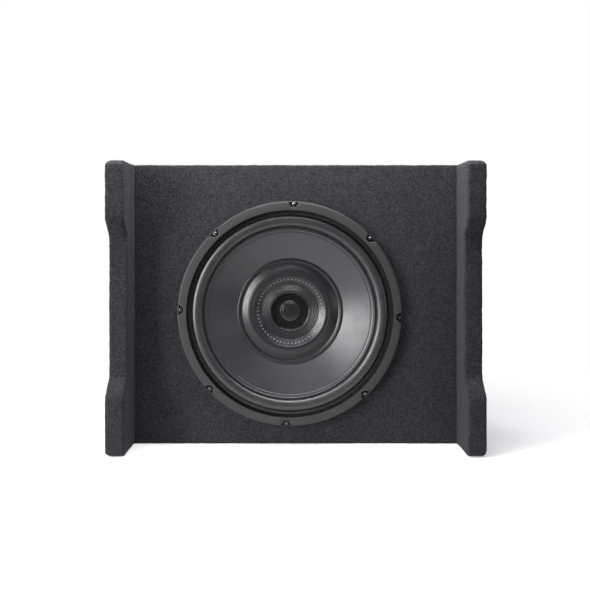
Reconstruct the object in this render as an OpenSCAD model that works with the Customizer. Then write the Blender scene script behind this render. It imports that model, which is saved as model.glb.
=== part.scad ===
// Powered car subwoofer: a carpeted box with a slim 12 inch woofer and a built-in amplifier.
// The two side boards reach past the baffle as legs, so that the box can lie on them and fire
// down. Here it stands on its long lower wall.
// Frame: +X right, +Y back, +Z up. The woofer faces -Y. Origin: centre of the base.

/* [Cabinet] */
// Overall width over the two side boards
box_w = 506; // [492:1:540]
// Overall height
box_h = 394; // [385:1:430]
// Overall depth from the legs' front to the back
box_d = 200; // [196:1:240]
// How far the legs reach in front of the baffle
leg_d = 57; // [40:1:65]
// Depth of the arch between two legs
arch_d = 20; // [10:1:30]
// Height of each leg's front face
leg_h = 80; // [60:1:100]
// Height of the slope from a leg's front to the arch
arch_run = 22; // [12:1:30]
// Thickness of the two side boards
side_board = 20; // [18:0.5:22]
// Thickness of the top, bottom and back boards
wall_board = 15; // [12:0.5:16]
// Thickness of the baffle
baffle_board = 19; // [18:0.5:20]
// Thickness of the carpet
carpet_t = 2.5; // [1.5:0.5:3]
// Radius of the side boards' corners
corner_r = 8; // [4:1:12]

/* [Woofer] */
// The woofer's centre, right of the box's centre
drv_x = -8; // [-12:1:12]
// The woofer's centre, below the box's centre
drv_drop = 12.5; // [0:0.5:15]
// Outer radius of the frame's flange
frame_r = 158; // [156:0.5:160]
// Radius of the circle of mounting screws
bolt_r = 153.3; // [152:0.1:154]
// Number of mounting screws
bolt_n = 8; // [4:1:12]
// How far the ring of screws is turned, in degrees
bolt_turn = 1.9; // [-10:0.1:10]
// Height of the trim gasket's front face over the carpet
gasket_front = 9; // [7:0.5:11]
// Radius of the voice coil's former
former_r = 25.6; // [25:0.1:26.2]
// Radius of the magnet
magnet_r = 70; // [60:1:75]

/* [Amplifier] */
// Width of the amplifier's panel
amp_w = 330; // [320:1:340]
// Depth of the amplifier's panel, front to back
amp_d = 114; // [112:1:118]
// Depth of the sunken bays in the panel
bay_depth = 14; // [13:0.5:15]
// Number of heat sink fins
fin_n = 11; // [6:1:14]
// Radius of a control knob
knob_r = 7; // [6:0.5:8]
// Height of a control knob
knob_h = 9; // [7:0.5:10]

/* [Hidden] */
$fn = 96;
eps = 0.5;            // how far a cutter runs past a face
fit = 0.05;           // gap between a screw or shaft and its hole
seam = 0.05;          // gap between two glued curved faces

// Cabinet positions
front_y = -box_d / 2;
back_y = box_d / 2;
baffle_y = front_y + leg_d;              // front face of the baffle's carpet
side_t = side_board + 2 * carpet_t;      // a side board with its carpet
board_x = box_w / 2 - carpet_t - side_board;   // inner face of a side board
wall_z = wall_board + carpet_t;          // inner face of the bottom board
hole_r = 148;                            // cutout for the woofer
pilot_r = 2.1;                           // shank of a woofer screw

// Woofer: profiles are (radius, depth behind the carpet's front face)
drv_z = box_h / 2 - drv_drop;
flange_t = 1.8;
flange_dep = -3;                         // front face of the frame's flange
seal_t = 1.2;
landing_r = 145;                         // step from the flange to the surround's landing
landing_dep = 2;
shelf_r = 80;                            // outside of the spider's shelf
shelf_dep = 60;
base_r = 62;                             // outside of the frame's base
base_dep = 74.2;                         // front face of the frame's base
motor_dep = 76;                          // front face of the motor
sheet_t = 1.8;                           // the frame's sheet thickness
roll_r = 129.8;                          // middle of the surround's half roll
roll_half = 6.8;
roll_h = 6.6;
rubber_t = 1.1;                          // thickness of the surround
cone_edge_r = 119.7;
cone_edge_dep = -0.9;
cone_rise = 0.564;                       // depth gained per unit of radius
cone_t = 1.2;
cap_r = 76.5;                            // outside of the dust cap
cap_t = 1.2;
crest_r = 53;                            // crest of the dust cap's raised ring
plate_t = 8;
magnet_t = 20;
pole_r = 24.4;
coil_gap_r = 27.9;                       // inside of the front plate

// Terminals on the woofer, and the leads from them to the cone, as (radius, depth)
post_x = [-7, 7];
post_dep = 48;
post_low = 92;
post_high = 115;
block_lift = 106;
lead_from = [91.7, 48];
lead_to = [47, 42.9];
lead_sag = 6;

// Amplifier positions; panel coordinates are (x, y) from the amplifier's centre
amp_y = baffle_y + (back_y - baffle_y) / 2;
board_top = box_h - carpet_t;            // upper face of the top board
amp_seal_t = 0.6;
flange_z = board_top + amp_seal_t;       // underside of the panel's flange
amp_flange_t = 2.8;
panel_z = flange_z + amp_flange_t;       // upper face of the panel
floor_t = 2.5;
floor_z = panel_z - bay_depth;           // upper face of the bays' floor
under_z = floor_z - floor_t;             // underside of the bays' floor
bay_w = 304;
bay_d = 84;
tray_wall = 2.5;
rib_x = 54;                              // left side of the rib between the two bays
rib_w = 8;
chassis_h = 35;
chassis_t = 1.2;
pcb_z = under_z - 12;                    // underside of the circuit board
pcb_t = 1.6;
pcb_top = pcb_z + pcb_t;
row_back = 20;                           // rows of controls, front to back
row_front = -20;
knob_x = [-130, -102, -74];
rca_x = [-42, -20];
rca_r = 4.15;
rca_h = 9;
switch_x = [6, 30];
switch_travel = 3;
led_xy = [[46, 30], [46, 20]];
led_r = 1.5;
block_x = -118;
block_w = 58;
block_d = 22;
block_h = 9;
lug_pitch = 17;
fuse_x = [-74, -60];
fuse_t = 4.6;
fuse_w = 19;
holder_w = 8;
holder_l = 24;
holder_h = 6;
socket_x = -30;
remote_x = 2;
grommet_x = -8;
grommet_y = -10;
wire_r = 1.4;
clamp_x = bay_w / 2 - 3.3;               // the four screws that hold the chassis
clamp_y = bay_d / 2 - 3.5;
shaft_r = 3;

// Round points of an arc, from angle a0 to a1 in degrees
function arc(cx, cy, r, a0, a1, n) =
  [for (i = [0:n]) let (a = a0 + (a1 - a0) * i / n) [cx + r * cos(a), cy + r * sin(a)]];

// Depth of the cone's front surface at radius r
function cone_dep(r) = cone_edge_dep + (cone_edge_r - r) * cone_rise;

// Turns the woofer's own frame, +Z into the box, to the box's frame
module at_woofer() {
  translate([drv_x, baffle_y, drv_z]) rotate([-90, 0, 0]) children();
}

// Moves to a place on the amplifier's panel
module at_panel(x, y, z) {
  translate([x, amp_y + y, z]) children();
}

// Extrudes a (Y, Z) outline along X
module along_x(x0, length) {
  translate([x0, 0, 0]) rotate([90, 0, 90]) linear_extrude(length) children();
}

module box_between(low, high) {
  translate(low) cube(high - low);
}

module ring(r_in, r_out, z0, z1) {
  translate([0, 0, z0]) difference() {
    cylinder(r = r_out, h = z1 - z0);
    translate([0, 0, -eps]) cylinder(r = r_in, h = z1 - z0 + 2 * eps);
  }
}

module round_rect(w, d, r) {
  square([w - 2 * r, d], center = true);
  square([w, d - 2 * r], center = true);
  for (sx = [-1, 1], sy = [-1, 1])
    translate([sx * (w / 2 - r), sy * (d / 2 - r)]) circle(r);
}

// ---- Cabinet ----

// A side board's outline in (Y, Z), smaller by inset all round
module side_outline(inset) {
  slope_grow = inset * sqrt(arch_run * arch_run + arch_d * arch_d) / arch_d;
  reach = arch_run / arch_d;
  low = leg_h - slope_grow;
  difference() {
    translate([0, box_h / 2])
      round_rect(box_d - 2 * inset, box_h - 2 * inset, corner_r - inset);
    polygon([
      [front_y - eps, low - eps * reach],
      [front_y + arch_d + inset, low + arch_run + inset * reach],
      [front_y + arch_d + inset, box_h - low - arch_run - inset * reach],
      [front_y - eps, box_h - low + eps * reach]
    ]);
  }
}

module side_board_shape() {
  along_x(board_x, side_board) side_outline(carpet_t);
}

// A side board's carpet: its outer face, its edges, and the inner face of the legs
module side_carpet_shape() {
  difference() {
    along_x(box_w / 2 - side_t, side_t) side_outline(0);
    along_x(board_x, side_board) side_outline(carpet_t);
    box_between([box_w / 2 - side_t - eps, baffle_y, -eps], [board_x, back_y + eps, box_h + eps]);
  }
}

module side_board_right() { color("#8a6b48") side_board_shape(); }
module side_board_left() { color("#8a6b48") mirror([1, 0, 0]) side_board_shape(); }
module carpet_right() { color("#2f2f32") side_carpet_shape(); }
module carpet_left() { color("#2f2f32") mirror([1, 0, 0]) side_carpet_shape(); }

module amp_cutout(w, d, low, high) {
  translate([0, amp_y, low]) linear_extrude(high - low) square([w, d], center = true);
}

module top_board() {
  color("#96754f") difference() {
    box_between([-board_x, baffle_y + carpet_t, board_top - wall_board],
                [board_x, back_y - carpet_t, board_top]);
    amp_cutout(bay_w + 2 * tray_wall + 3, bay_d + 2 * tray_wall + 3, 0, box_h);
    amp_screw_places() translate([0, 0, board_top - wall_board - eps])
      cylinder(r = 1.6 + fit, h = wall_board + 2 * eps);
  }
}

module bottom_board() {
  color("#96754f")
    box_between([-board_x, baffle_y + carpet_t, carpet_t], [board_x, back_y - carpet_t, wall_z]);
}

module back_board() {
  color("#96754f")
    box_between([-board_x, back_y - carpet_t - wall_board, wall_z],
                [board_x, back_y - carpet_t, box_h - wall_z]);
}

module woofer_screw_places() {
  for (i = [0:bolt_n - 1])
    rotate([0, 0, -bolt_turn + i * 360 / bolt_n]) translate([bolt_r, 0, 0]) children();
}

module woofer_hole(low, high) {
  at_woofer() {
    translate([0, 0, low]) cylinder(r = hole_r, h = high - low);
    woofer_screw_places() translate([0, 0, low]) cylinder(r = pilot_r + fit, h = high - low);
  }
}

module baffle_board() {
  color("#8a6b48") difference() {
    box_between([-board_x, baffle_y + carpet_t, wall_z],
                [board_x, baffle_y + carpet_t + baffle_board, box_h - wall_z]);
    woofer_hole(0, baffle_board + carpet_t + eps);
  }
}

module carpet_wrap() {
  color("#2a2a2c") difference() {
    box_between([-board_x, baffle_y, 0], [board_x, back_y, box_h]);
    box_between([-board_x - eps, baffle_y + carpet_t, carpet_t],
                [board_x + eps, back_y - carpet_t, box_h - carpet_t]);
    woofer_hole(-eps, carpet_t + eps);
    amp_cutout(amp_w + 1, amp_d + 1, board_top - eps, box_h + eps);
  }
}

// ---- Woofer ----

module driver_seal() {
  color("#1c1c1c") at_woofer() difference() {
    ring(hole_r + 0.2, frame_r - 1, flange_dep + flange_t, flange_dep + flange_t + seal_t);
    woofer_screw_places() translate([0, 0, flange_dep]) cylinder(r = pilot_r + fit, h = 6);
  }
}

module basket() {
  wall_in = landing_r - 8;
  window_from = 12;
  window_to = 54;
  window_turn = 40;
  color("#232325") at_woofer() difference() {
    rotate_extrude() polygon([
      [frame_r, flange_dep], [landing_r, flange_dep], [landing_r, landing_dep],
      [wall_in, landing_dep], [shelf_r, shelf_dep], [base_r, shelf_dep],
      [base_r, base_dep], [34, base_dep], [34, motor_dep],
      [base_r + sheet_t, motor_dep], [base_r + sheet_t, shelf_dep + sheet_t],
      [shelf_r + 1.2, shelf_dep + sheet_t], [wall_in + 1.4, landing_dep + sheet_t],
      [landing_r + sheet_t, landing_dep + sheet_t],
      [landing_r + sheet_t, flange_dep + flange_t], [frame_r, flange_dep + flange_t]
    ]);
    for (i = [0:5])
      rotate([0, 0, i * 60 - window_turn / 2]) translate([0, 0, window_from])
        rotate_extrude(angle = window_turn)
          translate([shelf_r + 2, 0]) square([70, window_to - window_from]);
    translate([-12, -100, 44]) cube([24, 16, 8]);
    woofer_screw_places() translate([0, 0, flange_dep - eps])
      cylinder(r = pilot_r + 0.3, h = flange_t + 2 * eps);
    motor_screw_places() translate([0, 0, base_dep - eps]) cylinder(r = 2.1, h = 3);
  }
}

// The soft trim ring on the flange, with an open notch round each screw
module trim_gasket() {
  notch_d = 7.6;
  notch_out = 15.4;
  notch_in = 6;
  outer = frame_r - 1;
  color("#333335") at_woofer() difference() {
    ring(145.3, outer, -gasket_front, flange_dep);
    for (i = [0:bolt_n - 1])
      rotate([0, 0, -bolt_turn + i * 360 / bolt_n]) translate([0, 0, -gasket_front - eps])
        linear_extrude(gasket_front)
          polygon([[outer - notch_d, -notch_in / 2], [outer + 2, -notch_out / 2 - 1],
                   [outer + 2, notch_out / 2 + 1], [outer - notch_d, notch_in / 2]]);
  }
}

module pan_screw(head_r, head_h, shank_r, length) {
  recess = 2;
  difference() {
    union() {
      translate([0, 0, -head_h]) cylinder(r1 = head_r * 0.75, r2 = head_r, h = head_h);
      cylinder(r = shank_r, h = length);
    }
    for (turn = [0, 90]) rotate([0, 0, turn])
      translate([-recess, -0.4, -head_h - eps]) cube([2 * recess, 0.8, eps + 1.2]);
  }
}

module driver_screws() {
  color("#b8b8ba") at_woofer() woofer_screw_places()
    translate([0, 0, flange_dep]) pan_screw(3.4, 2.6, pilot_r, 20);
}

// A half roll from the frame's landing to a lip that is glued behind the cone's edge
module surround() {
  n = 24;
  lip_in = 112.7;
  root_in = 0.4;                         // depth of the groove round the cone's edge
  root_out = landing_dep - rubber_t;
  // One surface of the roll, from the outside in, with its outer root at depth root
  function roll(half, height, root) = [for (i = [0:n])
    let (s = (1 - cos(180 * i / n)) / 2)
    [roll_r + half * cos(180 * i / n), root + (root_in - root_out) * s - height * sin(180 * i / n)]];
  function lip_dep(r) = cone_dep(r) + cone_t + seam;
  color("#2b2b2d") at_woofer() rotate_extrude() polygon(concat(
    [[144.7, root_out]],
    roll(roll_half, roll_h, root_out),
    [[cone_edge_r + 0.2, root_in], [cone_edge_r - 0.7, lip_dep(cone_edge_r - 0.7)],
     [lip_in, lip_dep(lip_in)], [lip_in, lip_dep(lip_in) + rubber_t],
     [cone_edge_r + 0.6, root_in + rubber_t]],
    [for (i = [n:-1:0]) roll(roll_half - rubber_t, roll_h - 0.2, landing_dep)[i]],
    [[144.7, landing_dep]]
  ));
}

module cone() {
  neck = former_r + 0.6;
  color("#3b3b3e") at_woofer() rotate_extrude() polygon([
    [cone_edge_r, cone_edge_dep], [neck, cone_dep(neck)], [former_r + seam, cone_dep(neck)],
    [former_r + seam, cone_dep(neck) + 2.4], [neck + 1, cone_dep(neck) + 2.4],
    [neck + 1, cone_dep(neck) + cone_t], [cone_edge_r, cone_edge_dep + cone_t]
  ]);
}

module dust_cap() {
  lift = 0.9;
  front = [
    [cap_r, cone_dep(cap_r) - lift], [72.5, cone_dep(72.5) - lift], [70.3, cone_dep(70.3) - 1.3],
    [68, 26.4], [64, 24.4], [60, 22.7], [56.5, 21.7], [crest_r, 21.4], [50, 22.2],
    [47.5, 24.2], [45, 26.8], [43, 28], [36, 27.4], [29.4, 26.8], [28.4, 26], [27.4, 26.6],
    [27, 31.5], [0, 31.5]
  ];
  back = [
    [0, 31.5 + cap_t], [28.2, 31.5 + cap_t], [28.6, 28.4], [43.2, 29.4], [45.8, 28.2],
    [48.4, 25.4], [50.6, 23.5], [crest_r, 22.7], [56.3, 23], [59.8, 24.1], [63.6, 25.9],
    [67.6, 28], [70.3, cone_dep(70.3) - seam], [cap_r, cone_dep(cap_r) - seam]
  ];
  color("#343437") at_woofer() rotate_extrude() polygon(concat(front, back));
}

// The plain disc in the middle of the dust cap
module cap_disc() {
  seat = 31.5 - seam;
  color("#1d1d1f") at_woofer() rotate_extrude() polygon([
    [0, 28.9], [9, 29.2], [13.6, 29.6], [15, 30.4], [15, seat], [0, seat]
  ]);
}

module coil_former() {
  color("#c9c4b4") at_woofer() ring(former_r - 0.5, former_r, 48, 92);
}

module voice_coil() {
  color("#a8622c") at_woofer() ring(former_r + 0.01, former_r + 1.3, 72, 90);
}

module spider() {
  t = 0.7;
  inner = 29;
  outer = base_r - 1;
  n = 48;
  waves = 4;
  mid = shelf_dep - t;
  wave = [for (i = [0:n]) let (s = i / n)
    [inner + (outer - inner) * s, mid - 2.2 * sin(360 * waves * s) * sin(180 * s)]];
  color("#c9a15a") at_woofer() rotate_extrude() polygon(concat(
    [[former_r + 0.06, mid]], wave, [[shelf_r - 1.5, mid]],
    [[shelf_r - 1.5, mid + t]],
    [for (i = [n:-1:0]) [wave[i][0], wave[i][1] + t]],
    [[former_r + 0.06, mid + t]]
  ));
}

module motor_screw_places() {
  for (i = [0:3]) rotate([0, 0, 45 + i * 90]) translate([48, 0, 0]) children();
}

module front_plate() {
  color("#9a9a9c") at_woofer() difference() {
    ring(coil_gap_r, base_r, motor_dep, motor_dep + plate_t);
    motor_screw_places() translate([0, 0, motor_dep - eps]) cylinder(r = 2 + fit, h = 6);
  }
}

module magnet() {
  color("#2c2a2a") at_woofer()
    ring(31, magnet_r, motor_dep + plate_t, motor_dep + plate_t + magnet_t);
}

module yoke() {
  plate_dep = motor_dep + plate_t + magnet_t;
  yoke_t = 7;
  vent_r = 8;
  color("#9a9a9c") at_woofer() difference() {
    union() {
      translate([0, 0, plate_dep]) cylinder(r = magnet_r - 4, h = yoke_t);
      translate([0, 0, motor_dep - 1]) cylinder(r = pole_r, h = plate_dep - motor_dep + 2);
    }
    translate([0, 0, motor_dep - 2]) cylinder(r = vent_r, h = 60);
  }
}

module motor_screws() {
  color("#b8b8ba") at_woofer() motor_screw_places()
    translate([0, 0, base_dep]) pan_screw(3.4, 2.2, 2, 6);
}

// The insulated block on the frame's upper spoke, shaped to the spoke underneath
module terminal_board() {
  low = 41;
  color("#6b4a2c") at_woofer() difference() {
    translate([-14, -block_lift, low]) cube([28, 20, 14]);
    rotate_extrude() polygon([
      [0, landing_dep + sheet_t], [landing_r - 8 + 1.4 + seam, landing_dep + sheet_t],
      [shelf_r + 1.2 + seam, shelf_dep + sheet_t], [0, shelf_dep + sheet_t]
    ]);
    for (x = post_x) translate([x, -block_lift - eps, post_dep]) rotate([-90, 0, 0])
      cylinder(r = 1.5 + fit, h = 30);
  }
}

module driver_posts() {
  nut_h = 4;
  color("#c8a850") at_woofer() for (x = post_x)
    translate([x, -post_high, post_dep]) rotate([-90, 0, 0]) {
      cylinder(r = 1.5, h = post_high - post_low);
      translate([0, 0, post_high - block_lift - nut_h]) cylinder(r = 3.6, h = nut_h);
    }
}

// Two braided leads that hang slack from the posts to the cone's back
module tinsel_leads() {
  n = 12;
  color("#b8894a") at_woofer() for (x = post_x)
    tube([for (i = [0:n]) let (s = i / n, p = lead_from + (lead_to - lead_from) * s)
      [x, -p[0], p[1] + lead_sag * 4 * s * (1 - s)]], 0.8, 6);
}

// ---- Wires ----

function tube_ring(path, i, r, sides) =
  let (
    a = path[max(i - 1, 0)], b = path[min(i + 1, len(path) - 1)],
    d = (b - a) / norm(b - a), u0 = cross(d, [1, 0, 0]), u = u0 / norm(u0), v = cross(d, u)
  ) [for (k = [0:sides - 1]) let (t = 360 * k / sides)
    path[i] + r * cos(t) * u + r * sin(t) * v];

module tube(path, r, sides) {
  rings = len(path);
  polyhedron(
    points = [for (i = [0:rings - 1]) each tube_ring(path, i, r, sides)],
    faces = concat(
      [[for (k = [0:sides - 1]) k]],
      [for (i = [0:rings - 2], k = [0:sides - 1]) let (n = (k + 1) % sides)
        [i * sides + k, (i + 1) * sides + k, (i + 1) * sides + n, i * sides + n]],
      [[for (k = [sides - 1:-1:0]) (rings - 1) * sides + k]]
    )
  );
}

// From the circuit board through the grommet down to one post on the woofer
function wire_path(side) =
  let (low = under_z - chassis_h, post = drv_z + post_high, x0 = grommet_x + side * 4,
       x1 = drv_x + side * post_x[1], y0 = amp_y + grommet_y, y1 = baffle_y + post_dep) [
    [x0, y0, pcb_z - 0.1], [x0, y0, low - 6], [x0, y0 - 1, low - 12],
    [x0 + side, (y0 + y1) / 2 + 3, low - 18], [x1, y1 + 3, low - 24],
    [x1, y1, low - 29], [x1, y1, post + 0.1]
  ];

module speaker_wires() {
  for (side = [-1, 1]) color(side < 0 ? "#202020" : "#b02020")
    tube(wire_path(side), wire_r, 8);
}

// ---- Amplifier ----

module amp_screw_places() {
  for (x = [-155, -78, 0, 78, 155], y = [-1, 1] * (amp_d / 2 - 5.5)) at_panel(x, y, 0) children();
}

module amp_seal() {
  color("#161616") difference() {
    translate([0, amp_y, board_top]) linear_extrude(amp_seal_t) difference() {
      round_rect(amp_w - 1, amp_d - 1, 7);
      square([bay_w + 2 * tray_wall + 1, bay_d + 2 * tray_wall + 1], center = true);
    }
    amp_screw_places() translate([0, 0, board_top - 1]) cylinder(r = 1.7, h = 3);
  }
}

// One fin of the heat sink, running front to back
module fin(x) {
  at_panel(x - 1, -bay_d / 2, floor_z - 0.01) cube([2, bay_d, bay_depth - 2]);
}

module amp_panel() {
  color("#28282a") difference() {
    union() {
      translate([0, amp_y, flange_z]) linear_extrude(amp_flange_t) round_rect(amp_w, amp_d, 8);
      translate([0, amp_y, under_z]) linear_extrude(panel_z - under_z - 1)
        square([bay_w + 2 * tray_wall, bay_d + 2 * tray_wall], center = true);
    }
    difference() {
      at_panel(-bay_w / 2, -bay_d / 2, floor_z) cube([bay_w, bay_d, bay_depth + eps]);
      at_panel(rib_x, -bay_d / 2 - 1, floor_z - 1) cube([rib_w, bay_d + 2, bay_depth + 1]);
      for (i = [0:fin_n - 1])
        fin(rib_x + rib_w + (i + 1) * (bay_w / 2 - rib_x - rib_w) / (fin_n + 1));
    }
    for (x = knob_x) hole_at(x, row_back, shaft_r + 0.6);
    for (x = rca_x) hole_at(x, row_back, rca_r + 1.2);
    for (p = led_xy) hole_at(p[0], p[1], led_r + fit);
    for (x = switch_x) at_panel(x - 5.5, row_back - 2, under_z - eps) cube([11, 4, floor_t + 2 * eps]);
    slot_at(socket_x, row_front, 25, 13);
    slot_at(remote_x, row_front, 15, 13);
    for (x = fuse_x) slot_at(x, row_front, holder_w, holder_l);
    clamp_places() translate([0, 0, under_z - eps]) cylinder(r = 1.6, h = floor_t + 2 * eps);
    amp_screw_places() {
      translate([0, 0, panel_z - 2.2]) cylinder(r1 = 1.7, r2 = 3.9, h = 2.2);
      translate([0, 0, flange_z - eps]) cylinder(r = 1.7, h = amp_flange_t + 2 * eps);
    }
  }
}

module hole_at(x, y, r) {
  at_panel(x, y, under_z - eps) cylinder(r = r, h = floor_t + 2 * eps);
}

module slot_at(x, y, w, d) {
  at_panel(x - w / 2 - fit, y - d / 2 - fit, under_z - eps)
    cube([w + 2 * fit, d + 2 * fit, floor_t + 2 * eps]);
}

module amp_screws() {
  head_h = 2;
  color("#1a1a1a") amp_screw_places() difference() {
    union() {
      translate([0, 0, panel_z - 0.1 - head_h]) cylinder(r1 = 1.6, r2 = 3.6, h = head_h);
      translate([0, 0, panel_z - 16]) cylinder(r = 1.6, h = 14.2);
    }
    for (turn = [0, 90]) rotate([0, 0, turn])
      translate([-1.9, -0.35, panel_z - 1.2]) cube([3.8, 0.7, 2]);
  }
}

module clamp_places() {
  for (x = [-1, 1] * clamp_x, y = [-1, 1] * clamp_y) at_panel(x, y, 0) children();
}

module chassis_screws() {
  color("#c4c4c6") clamp_places() translate([0, 0, floor_z]) rotate([180, 0, 0])
    pan_screw(2.8, 1.6, 1.25, floor_t + 7);
}

// The pan that closes the amplifier from inside the box
module amp_chassis() {
  w = bay_w + 4;
  d = bay_d + 4;
  low = under_z - chassis_h;
  boss = 8;
  color("#8d8f92") difference() {
    union() {
      difference() {
        translate([0, amp_y, low]) linear_extrude(chassis_h) round_rect(w, d, 4);
        translate([0, amp_y, low + chassis_t]) linear_extrude(chassis_h)
          round_rect(w - 2 * chassis_t, d - 2 * chassis_t, 3);
      }
      for (x = [-1, 1], y = [-1, 1])
        translate([x * (w - boss - chassis_t) / 2, amp_y + y * (d - boss - chassis_t) / 2,
                   under_z - 5])
          cube([boss, boss, 10], center = true);
    }
    at_panel(grommet_x, grommet_y, low - eps) cylinder(r = 8 + fit, h = chassis_t + 2 * eps);
    clamp_places() translate([0, 0, under_z - 10 - eps]) cylinder(r = 1.25 + fit, h = 12);
  }
}

module wire_grommet() {
  low = under_z - chassis_h;
  color("#151515") at_panel(grommet_x, grommet_y, low) difference() {
    rotate_extrude() polygon([[0, -2], [10, -2], [10, 0], [8, 0], [8, chassis_t], [10, chassis_t],
                              [10, chassis_t + 2], [0, chassis_t + 2]]);
    for (side = [-1, 1]) translate([side * 4, 0, -3]) cylinder(r = wire_r + fit, h = 8);
  }
}

module circuit_board() {
  color("#1f5a3a") at_panel(-(bay_w / 2 - 6), -(bay_d / 2 - 4), pcb_z)
    cube([bay_w - 12, bay_d - 8, pcb_t]);
}

module toroid() {
  core_r = 15;
  winding_r = 6.5;
  color("#b0682c") at_panel(-90, 12, pcb_z - winding_r) rotate_extrude()
    translate([core_r, 0]) circle(winding_r);
}

module capacitors() {
  color("#24303c") for (x = [-50, -26, -2], y = [8, -22])
    at_panel(x, y, pcb_z - 17) cylinder(r = 9, h = 17);
}

// Bar that carries the power transistors' heat up to the fins
module heat_bar() {
  color("#a0a2a5") at_panel(rib_x + rib_w + 8, -6, pcb_top)
    cube([72, 12, under_z - pcb_top]);
}

// Power transistors, clamped to the heat bar's back
module transistors() {
  color("#19191a") for (i = [0:3])
    at_panel(rib_x + rib_w + 12 + i * 18, 6 + seam, pcb_top) cube([10, 4.6, 9.5]);
}

module knob_at(x) {
  low = floor_z + 0.5;
  color("#161618") at_panel(x, row_back, 0) difference() {
    union() {
      translate([0, 0, low]) cylinder(r1 = knob_r, r2 = knob_r - 0.8, h = knob_h);
      translate([-0.6, 0, low + knob_h]) cube([1.2, knob_r - 1.2, 0.5]);
    }
    for (i = [0:17]) rotate([0, 0, i * 20 + 10]) translate([knob_r + 0.3, 0, low - eps])
      cylinder(r = 0.8, h = knob_h - 1, $fn = 24);
    translate([0, 0, low - eps]) cylinder(r = shaft_r + 0.02, h = 6);
  }
}

module knob_shaft(x) {
  color("#b0b0b2") at_panel(x, row_back, pcb_top + 2) cylinder(r = shaft_r, h = floor_z - pcb_top + 3.4);
}

module pot_at(x) {
  color("#54565a") at_panel(x, row_back, pcb_top) difference() {
    translate([-7, -7, 0]) cube([14, 14, 8]);
    translate([0, 0, 1]) cylinder(r = shaft_r + fit, h = 10);
  }
}

module gain_knob() { knob_at(knob_x[0]); knob_shaft(knob_x[0]); }
module crossover_knob() { knob_at(knob_x[1]); knob_shaft(knob_x[1]); }
module boost_knob() { knob_at(knob_x[2]); knob_shaft(knob_x[2]); }
module gain_pot() { pot_at(knob_x[0]); }
module crossover_pot() { pot_at(knob_x[1]); }
module boost_pot() { pot_at(knob_x[2]); }

module switch_bodies() {
  color("#54565a") for (x = switch_x) at_panel(x, row_back, pcb_top) difference() {
    translate([-9, -4, 0]) cube([18, 8, under_z - pcb_top]);
    translate([-5.5, -2, 4]) cube([11, 4, 10]);
  }
}

// A switch's lever, at the left end of its slot at rest
module lever_at(x) {
  color("#101012") at_panel(x - switch_travel / 2 - 2, row_back - 1.8, pcb_top + 4.2)
    cube([4, 3.6, floor_z - pcb_top - 1.2]);
}

module phase_lever() { lever_at(switch_x[0]); }
module input_lever() { lever_at(switch_x[1]); }

module rca_base() {
  color("#1b1b1d") at_panel(rca_x[0] - 9, row_back - 8, pcb_top)
    cube([rca_x[1] - rca_x[0] + 18, 16, under_z - pcb_top - 1.2]);
}

module rca_jacks() {
  collar_r = rca_r + 0.5;
  color("#c9a445") for (x = rca_x) at_panel(x, row_back, 0) union() {
    ring(2.9, rca_r, floor_z - 0.5, floor_z + rca_h);
    ring(2.9, collar_r, under_z, floor_z);
    translate([0, 0, under_z - 1.2]) cylinder(r = collar_r, h = 1.2);
  }
}

module rca_rings() {
  for (i = [0, 1]) color(i == 0 ? "#e8e8e6" : "#c01818") at_panel(rca_x[i], row_back, 0)
    ring(1.6, 2.9 - 0.02, under_z + 0.1, floor_z + rca_h - 0.6);
}

module level_socket() {
  color("#e4e2da") at_panel(socket_x, row_front, 0) difference() {
    translate([-12.5, -6.5, pcb_top]) cube([25, 13, floor_z + 6 - pcb_top]);
    translate([-11.3, -5.3, floor_z - 5]) cube([22.6, 10.6, 12]);
    for (x = [-8.4, -2.8, 2.8, 8.4]) translate([x - 0.6, -0.6, pcb_top - eps])
      cube([1.2, 1.2, 12]);
  }
}

module socket_pins() {
  color("#c9a445") for (x = [-8.4, -2.8, 2.8, 8.4])
    at_panel(socket_x + x - 0.55, row_front - 0.55, pcb_top) cube([1.1, 1.1, floor_z + 3 - pcb_top]);
}

module remote_jack() {
  color("#1b1b1d") at_panel(remote_x, row_front, 0) difference() {
    translate([-7.5, -6.5, pcb_top]) cube([15, 13, floor_z + 3 - pcb_top]);
    translate([-5, -4, floor_z - 6]) cube([10, 7, 12]);
    translate([-2, -5.6, floor_z - 6]) cube([4, 3, 12]);
  }
}

// Barrier strip for the power, ground and remote leads
module power_block() {
  color("#151517") at_panel(block_x, row_front, floor_z) difference() {
    translate([-block_w / 2, -block_d / 2, 0]) cube([block_w, block_d, block_h]);
    for (i = [-1:1]) translate([i * lug_pitch, 0, 0]) {
      translate([-6.8, -block_d / 2 - eps, 4]) cube([13.6, block_d - 5 + eps, 10]);
      cylinder(r = 2 + fit, h = 20);
    }
  }
}

module power_screws() {
  color("#c4c4c6") at_panel(block_x, row_front, floor_z) for (i = [-1:1])
    translate([i * lug_pitch, 0, 0]) difference() {
      union() {
        translate([0, 0, 0.6]) cylinder(r = 2, h = 4.4);
        translate([-5.2, -5.2, 4]) cube([10.4, 10.4, 0.9]);
        translate([0, 0, 4.9]) cylinder(r = 3.9, h = 2.6);
      }
      for (turn = [0, 90]) rotate([0, 0, turn + 20]) translate([-2.6, -0.5, 6.3]) cube([5.2, 1, 2]);
    }
}

module fuse_holders() {
  color("#1b1b1d") for (x = fuse_x) at_panel(x, row_front, 0) difference() {
    translate([-holder_w / 2, -holder_l / 2, pcb_top])
      cube([holder_w, holder_l, floor_z + holder_h - pcb_top]);
    translate([-fuse_t / 2 - 0.3, -fuse_w / 2 - 0.3, floor_z + 1])
      cube([fuse_t + 0.6, fuse_w + 0.6, 10]);
    for (y = [-7, 7]) translate([-0.6, y - 2.8, floor_z - 8]) cube([1.2, 5.6, 12]);
  }
}

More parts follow.
